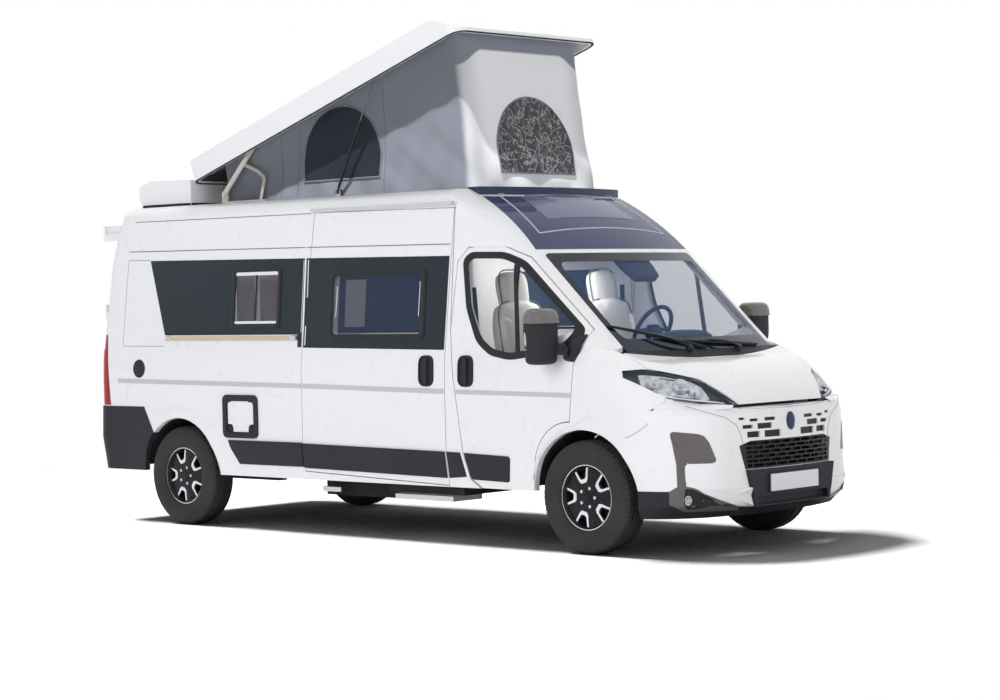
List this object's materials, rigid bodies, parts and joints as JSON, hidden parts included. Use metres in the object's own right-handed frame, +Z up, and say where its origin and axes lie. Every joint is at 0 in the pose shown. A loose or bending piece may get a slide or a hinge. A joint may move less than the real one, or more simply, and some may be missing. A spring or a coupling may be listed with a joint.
{
  "type": "camper van",
  "caption": "White long-wheelbase high-roof camper van with a rear-hinged pop-up roof, grey tent, opening doors, bonnet, service hatch, sliding step and steered wheels",
  "frame": {"origin": "on the ground below the middle of the bounding box", "axes": "+X forward, +Y to the van's left, +Z up"},
  "size_m": [5.989, 2.499, 3.6209],
  "materials": {
    "body_paint": "glossy white paint",
    "roof_plastic": "gloss white moulding",
    "black_plastic": "grained black plastic",
    "grey_plastic": "grained dark grey plastic",
    "grille_black": "satin black",
    "tinted_glass": "tinted",
    "clear_glass": "clear",
    "lamp_front": "clear lens",
    "lamp_rear": "red lens",
    "aluminium": "anodised",
    "chassis_steel": "underbody coating",
    "engine_iron": "cast",
    "seat_fabric": "woven",
    "furniture_wood": "light laminate",
    "tent_fabric": "grey cotton",
    "linkage": "beige paint",
    "strut_black": "black",
    "strut_rod": "polished",
    "rim_black": "gloss black with machined edges",
    "tyre": "rubber"
  },
  "bodies": {
    "van": {"side_wall_right": "body_paint", "side_wall_left": "body_paint", "sliding_door": "body_paint", "side_windows": "tinted_glass", "tail_lamps": "lamp_rear", "roof_panel": "body_paint", "windscreen": "clear_glass", "skyroof": "tinted_glass", "visor": "grille_black", "headlamps": "lamp_front", "front_bumper": "body_paint", "grille": "grille_black", "lower_bumper": "grey_plastic", "fenders": "body_paint", "cab_frame": "body_paint", "cowl": "black_plastic", "rear_bumper": "black_plastic", "side_mouldings": "black_plastic", "outer_rails": "aluminium", "floor": "chassis_steel", "wheel_liners": "black_plastic", "underbody": "chassis_steel", "engine": "engine_iron", "dashboard": "grey_plastic", "cab_seats": "seat_fabric", "furniture": "furniture_wood", "front_axle": "chassis_steel", "rear_axle": "chassis_steel", "lift_bases": "linkage", "roof_unit": "roof_plastic", "tent": "tent_fabric"},
    "bonnet": {"bonnet": "body_paint"},
    "door_right": {"cab_door_right": "body_paint", "cab_glass_right": "clear_glass", "mirror_right": "black_plastic"},
    "door_left": {"cab_door_left": "body_paint", "cab_glass_left": "clear_glass", "mirror_left": "black_plastic"},
    "rear_door_r": {"rear_door_right": "body_paint", "rear_glass_right": "tinted_glass"},
    "rear_door_l": {"rear_door_left": "body_paint", "rear_glass_left": "tinted_glass"},
    "hatch": {"service_hatch": "body_paint"},
    "step": {"entrance_step": "aluminium"},
    "pop_roof": {"roof_shell": "roof_plastic"},
    "arms": {"lift_arms": "linkage"},
    "barrels": {"strut_barrels": "strut_black"},
    "rods": {"strut_rods": "strut_rod"},
    "steer_right": {"knuckle_right": "chassis_steel"},
    "steer_left": {"knuckle_left": "chassis_steel"},
    "wheel_fr": {"rim_front_right": "rim_black", "tyre_front_right": "tyre"},
    "wheel_fl": {"rim_front_left": "rim_black", "tyre_front_left": "tyre"},
    "wheel_rr": {"rim_rear_right": "rim_black", "tyre_rear_right": "tyre"},
    "wheel_rl": {"rim_rear_left": "rim_black", "tyre_rear_left": "tyre"}
  },
  "joints": [
    {"name": "roof_tilt", "type": "hinge", "parent": "van", "child": "pop_roof", "pos_m": [-2.52192, 0, 2.21877], "axis": [0, 1, 0], "range_deg": [0, 17.93], "deforming": ["tent"]},
    {"name": "arm_swing", "type": "hinge", "parent": "van", "child": "arms", "pos_m": [-1.8, 0, 2.5], "axis": [0, 1, 0], "range_deg": [0, 48.5]},
    {"name": "strut_swing", "type": "hinge", "parent": "van", "child": "barrels", "pos_m": [-0.534, 0, 2.466], "axis": [0, 1, 0], "range_deg": [0, 62.5]},
    {"name": "strut_slide", "type": "slide", "parent": "barrels", "child": "rods", "axis": [0.4556, 0, 0.8902], "range_m": [-0.3, 0]},
    {"name": "bonnet_hinge", "type": "hinge", "parent": "van", "child": "bonnet", "pos_m": [2.29, 0, 1.29], "axis": [0, -1, 0], "range_deg": [0, 50]},
    {"name": "door_right_hinge", "type": "hinge", "parent": "van", "child": "door_right", "pos_m": [1.976, -1.034, 0.9], "axis": [0, 0, 1], "range_deg": [0, 70]},
    {"name": "door_left_hinge", "type": "hinge", "parent": "van", "child": "door_left", "pos_m": [1.976, 1.034, 0.9], "axis": [0, 0, -1], "range_deg": [0, 70]},
    {"name": "rear_door_right_hinge", "type": "hinge", "parent": "van", "child": "rear_door_r", "pos_m": [-2.985, -0.893, 1.4], "axis": [0, 0, 1], "range_deg": [0, 180]},
    {"name": "rear_door_left_hinge", "type": "hinge", "parent": "van", "child": "rear_door_l", "pos_m": [-2.985, 0.893, 1.4], "axis": [0, 0, -1], "range_deg": [0, 180]},
    {"name": "hatch_hinge", "type": "hinge", "parent": "van", "child": "hatch", "pos_m": [-1.268, -1.034, 0.95], "axis": [-1, 0, 0], "range_deg": [0, 100]},
    {"name": "step_slide", "type": "slide", "parent": "van", "child": "step", "axis": [0, -1, 0], "range_m": [0, 0.25]},
    {"name": "steer_left_kingpin", "type": "hinge", "parent": "van", "child": "steer_left", "pos_m": [2.051, 0.8, 0.372], "axis": [0, 0, 1], "range_deg": [-35, 35]},
    {"name": "steer_right_kingpin", "type": "hinge", "parent": "van", "child": "steer_right", "pos_m": [2.051, -0.8, 0.372], "axis": [0, 0, 1], "range_deg": [-35, 35]},
    {"name": "wheel_fr_spin", "type": "hinge", "parent": "steer_right", "child": "wheel_fr", "pos_m": [2.051, -0.905, 0.372], "axis": [0, 1, 0], "continuous": true},
    {"name": "wheel_fl_spin", "type": "hinge", "parent": "steer_left", "child": "wheel_fl", "pos_m": [2.051, 0.905, 0.372], "axis": [0, 1, 0], "continuous": true},
    {"name": "wheel_rr_spin", "type": "hinge", "parent": "van", "child": "wheel_rr", "pos_m": [-1.984, -0.895, 0.372], "axis": [0, 1, 0], "continuous": true},
    {"name": "wheel_rl_spin", "type": "hinge", "parent": "van", "child": "wheel_rl", "pos_m": [-1.984, 0.895, 0.372], "axis": [0, 1, 0], "continuous": true}
  ],
  "couplings": [
    {"joint": "arm_swing", "follows": "roof_tilt", "ratio": 2.6436},
    {"joint": "strut_swing", "follows": "roof_tilt", "ratio": 3.4356},
    {"joint": "strut_slide", "follows": "roof_tilt", "m_per_rad": -0.9083},
    {"joint": "steer_right_kingpin", "follows": "steer_left_kingpin", "ratio": 1}
  ]
}
